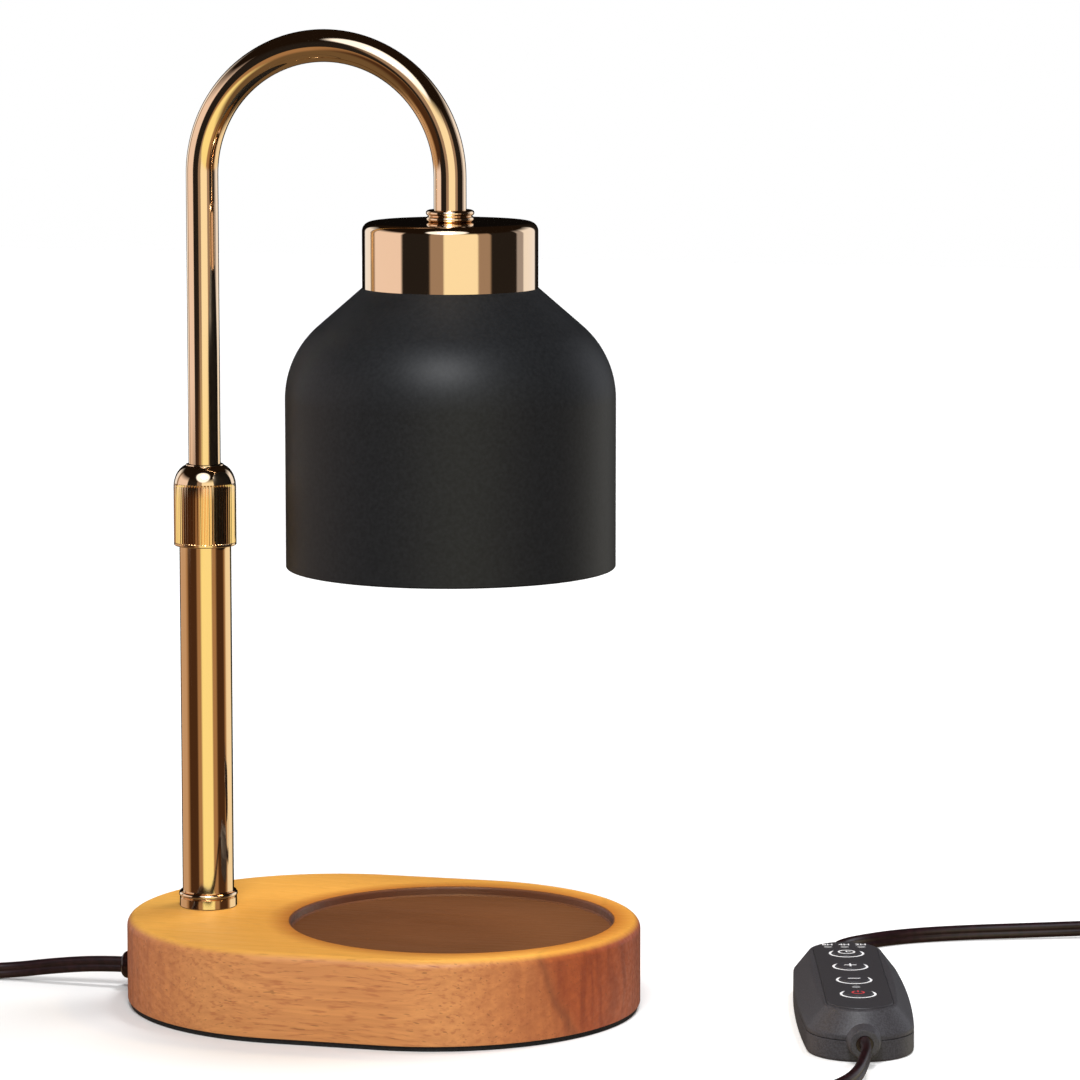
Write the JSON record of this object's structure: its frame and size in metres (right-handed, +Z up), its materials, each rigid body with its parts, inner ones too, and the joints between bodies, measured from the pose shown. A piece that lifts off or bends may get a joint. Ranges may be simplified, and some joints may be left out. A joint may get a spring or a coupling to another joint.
{
  "type": "candle warmer lamp",
  "caption": "Table lamp that melts a jar candle from above: wooden base, gold post with height-adjustable crook arm, bell shade, cord with timer and dimmer controller, plug.",
  "frame": {"origin": "centre of the base underside, on the table", "axes": "+X from the post towards the shade, +Z up, -Y the side a user faces"},
  "size_m": [0.4568, 0.3234, 0.3],
  "materials": {
    "wood": "oiled rubberwood, satin",
    "pad": "soft black foam rubber",
    "gold_plate": "polished rose-gold plate over metal tube",
    "shade_black": "matte black powder coat on spun aluminium",
    "steel": "zinc plated",
    "brass": "turned",
    "nylon": "moulded nylon",
    "ceramic": "glazed steatite ceramic",
    "clear_glass": "clear",
    "mirror_glass": "aluminised reflector",
    "black_plastic": "fine-grain moulded black ABS",
    "light_pipe": "smoky light pipe",
    "board": "glass-epoxy board",
    "cord_pvc": "black flexible PVC",
    "tie_fabric": "woven black strap",
    "plated_blade": "nickel plated"
  },
  "bodies": {
    "stand": {"ballast_plate": "steel", "ballast_screws": "steel", "base_pad": "pad", "board_parts": "black_plastic", "board_switches": "black_plastic", "coil_tie": "tie_fabric", "collet_ring": "nylon", "controller_board": "board", "controller_bottom_shell": "black_plastic", "controller_face_panel": "black_plastic", "controller_leads": "cord_pvc", "controller_top_shell": "black_plastic", "cord_coil": "cord_pvc", "cord_grommet": "black_plastic", "cord_to_controller": "cord_pvc", "cord_to_plug": "cord_pvc", "front_bush": "black_plastic", "indicator_lights": "light_pipe", "plug_blades": "plated_blade", "plug_body": "black_plastic", "post_flange": "gold_plate", "post_foot": "brass", "post_lead": "cord_pvc", "post_nipple": "steel", "post_nut": "steel", "post_top_bush": "brass", "post_tube": "gold_plate", "post_washer": "steel", "rear_bush": "black_plastic", "shell_screws": "steel", "slack_lead": "cord_pvc", "wood_base": "wood"},
    "collar": {"clamp_collar": "gold_plate"},
    "arm_slider": {"guide_bush": "nylon"},
    "arm": {"arm_tube": "gold_plate", "arm_stop_rings": "steel", "arm_lead": "cord_pvc", "cup_ring_nut": "gold_plate", "socket_cup": "gold_plate", "cup_nut": "steel", "holder_bracket": "steel", "holder_plate": "steel", "shade_screws": "steel", "lampholder": "ceramic", "holder_screws": "steel", "holder_contacts": "brass", "shade": "shade_black", "bulb_base": "ceramic", "bulb_pins": "plated_blade", "bulb_reflector": "mirror_glass", "bulb_lens": "clear_glass", "bulb_capsule": "clear_glass"},
    "timer_button": {"timer_button": "black_plastic"},
    "brighter_button": {"brighter_button": "black_plastic"},
    "dimmer_button": {"dimmer_button": "black_plastic"},
    "power_button": {"power_button": "black_plastic"}
  },
  "joints": [
    {"name": "arm_height", "type": "slide", "parent": "stand", "child": "arm_slider", "axis": [0, 0, 1], "range_m": [-0.045, 0.035], "deforming": ["slack_lead"]},
    {"name": "arm_swivel", "type": "hinge", "parent": "arm_slider", "child": "arm", "pos_m": [-0.057, 0, 0.1], "axis": [0, 0, 1], "range_deg": [-90, 90]},
    {"name": "collar_turn", "type": "hinge", "parent": "stand", "child": "collar", "pos_m": [-0.057, 0, 0.15], "axis": [0, 0, 1], "range_deg": [0, 180]},
    {"name": "timer_button_press", "type": "slide", "parent": "stand", "child": "timer_button", "axis": [0, 0, -1], "range_m": [0, 0.0005], "stiffness_N_per_m": 400},
    {"name": "brighter_button_press", "type": "slide", "parent": "stand", "child": "brighter_button", "axis": [0, 0, -1], "range_m": [0, 0.0005], "stiffness_N_per_m": 400},
    {"name": "dimmer_button_press", "type": "slide", "parent": "stand", "child": "dimmer_button", "axis": [0, 0, -1], "range_m": [0, 0.0005], "stiffness_N_per_m": 400},
    {"name": "power_button_press", "type": "slide", "parent": "stand", "child": "power_button", "axis": [0, 0, -1], "range_m": [0, 0.0005], "stiffness_N_per_m": 400}
  ]
}
